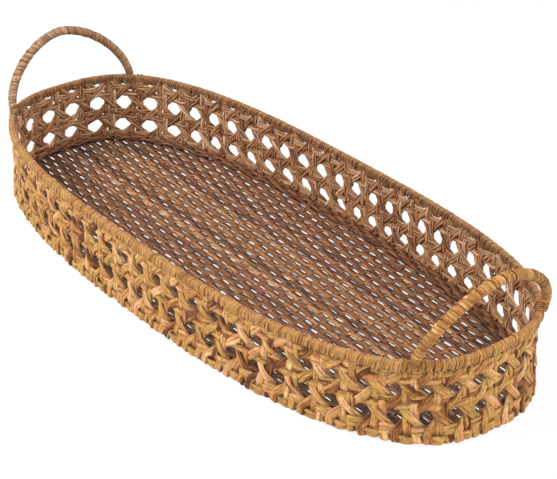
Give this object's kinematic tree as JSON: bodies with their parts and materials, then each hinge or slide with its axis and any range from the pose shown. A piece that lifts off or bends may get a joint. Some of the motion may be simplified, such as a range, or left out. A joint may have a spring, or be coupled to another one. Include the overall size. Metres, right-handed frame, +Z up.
{
  "type": "woven tray",
  "caption": "Long oval woven cane tray with a plain-weave base, an open cane-work wall, a wrapped rim and an arched wrapped handle at each end.",
  "frame": {"origin": "on the ground under the middle of the base", "axes": "+X along the tray's length, +Y across its width, +Z up"},
  "size_m": [0.613, 0.2534, 0.1277],
  "materials": {
    "wall_cane": "natural honey cane, dull sheen",
    "base_cane": "smoked brown cane, matt",
    "binding_cane": "natural cane strip, dull sheen",
    "core_rod": "bare rattan rod, matt"
  },
  "bodies": {
    "root": {"base_hoop": "core_rod", "base_rib_01": "base_cane", "base_rib_02": "base_cane", "base_rib_03": "base_cane", "base_rib_04": "base_cane", "base_rib_05": "base_cane", "base_rib_06": "base_cane", "base_rib_07": "base_cane", "base_rib_08": "base_cane", "base_rib_09": "base_cane", "base_rib_10": "base_cane", "base_rib_11": "base_cane", "base_rib_12": "base_cane", "base_rib_13": "base_cane", "base_rib_14": "base_cane", "base_rib_15": "base_cane", "base_rib_16": "base_cane", "base_weaver_01": "base_cane", "base_weaver_02": "base_cane", "base_weaver_03": "base_cane", "base_weaver_04": "base_cane", "base_weaver_05": "base_cane", "base_weaver_06": "base_cane", "base_weaver_07": "base_cane", "base_weaver_08": "base_cane", "base_weaver_09": "base_cane", "base_weaver_10": "base_cane", "handle_rod_left": "core_rod", "handle_rod_right": "core_rod", "handle_strap_left_back": "binding_cane", "handle_strap_left_front": "binding_cane", "handle_strap_right_back": "binding_cane", "handle_strap_right_front": "binding_cane", "handle_wrap_left": "binding_cane", "handle_wrap_right": "binding_cane", "rim_hoop": "core_rod", "rim_wrap_01": "binding_cane", "rim_wrap_02": "binding_cane", "rim_wrap_03": "binding_cane", "rim_wrap_04": "binding_cane", "wall_lacing_01": "wall_cane", "wall_lacing_02": "wall_cane", "wall_lacing_03": "wall_cane", "wall_lacing_04": "wall_cane", "wall_upright_01": "wall_cane", "wall_upright_02": "wall_cane", "wall_upright_03": "wall_cane", "wall_upright_04": "wall_cane", "wall_upright_05": "wall_cane", "wall_upright_06": "wall_cane", "wall_upright_07": "wall_cane", "wall_upright_08": "wall_cane", "wall_upright_09": "wall_cane", "wall_upright_10": "wall_cane", "wall_upright_11": "wall_cane", "wall_upright_12": "wall_cane", "wall_weaver_01": "wall_cane", "wall_weaver_02": "wall_cane", "wall_weaver_03": "wall_cane"}
  },
  "joints": []
}
